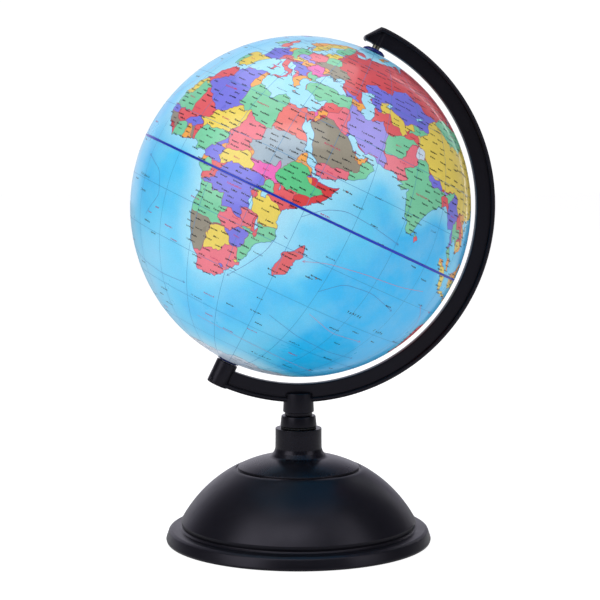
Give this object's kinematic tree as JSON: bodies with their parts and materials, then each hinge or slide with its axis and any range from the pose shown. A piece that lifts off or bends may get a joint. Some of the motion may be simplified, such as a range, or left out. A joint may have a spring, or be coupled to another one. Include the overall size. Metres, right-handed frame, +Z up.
{
  "type": "desktop globe",
  "caption": "Desktop globe: a two-shell globe that spins on a tilted axis in a C-shaped arm, which swivels in the neck of a weighted dome base.",
  "frame": {"origin": "centre of the foot pad's underside, on the swivel axis, on the surface the globe stands on", "axes": "+Z up along the swivel axis; the arm lies in the XZ plane with the north pole leaning towards +X"},
  "size_m": [0.2155, 0.2002, 0.3044],
  "materials": {
    "black_plastic": "satin moulded black",
    "printed_map": "printed map under a clear glossy film",
    "tape_blue": "glossy navy tape",
    "navy_plastic": "glossy near-black navy",
    "steel": "zinc-plated",
    "ballast_iron": "rough cast",
    "nylon": "natural nylon",
    "white_styrene": "plain moulded",
    "foam": "matt closed-cell foam"
  },
  "bodies": {
    "base": {"foot_pad": "foam", "bottom_cover": "black_plastic", "cover_screw_1": "steel", "cover_screw_2": "steel", "cover_screw_3": "steel", "ballast_plate": "ballast_iron", "base_dome": "black_plastic", "neck_socket": "black_plastic", "neck_screw_1": "steel", "neck_screw_2": "steel", "neck_screw_3": "steel", "friction_washer": "foam"},
    "arm": {"meridian_arm": "black_plastic", "swivel_collar": "black_plastic", "stem_screw": "steel", "stem_washer": "steel", "north_pin": "steel", "south_pin": "steel", "thrust_washer": "nylon"},
    "globe": {"north_hemisphere": "printed_map", "south_hemisphere": "printed_map", "joint_ring": "white_styrene", "equator_tape": "tape_blue", "north_cap": "navy_plastic", "south_cap": "navy_plastic", "north_bush": "nylon", "south_bush": "nylon"}
  },
  "joints": [
    {"name": "arm_swivel", "type": "hinge", "parent": "base", "child": "arm", "pos_m": [0, 0, 0.0676], "axis": [0, 0, 1], "continuous": true},
    {"name": "globe_spin", "type": "hinge", "parent": "arm", "child": "globe", "pos_m": [0.0012, 0, 0.199], "axis": [0.4289, 0, 0.9033], "continuous": true}
  ]
}
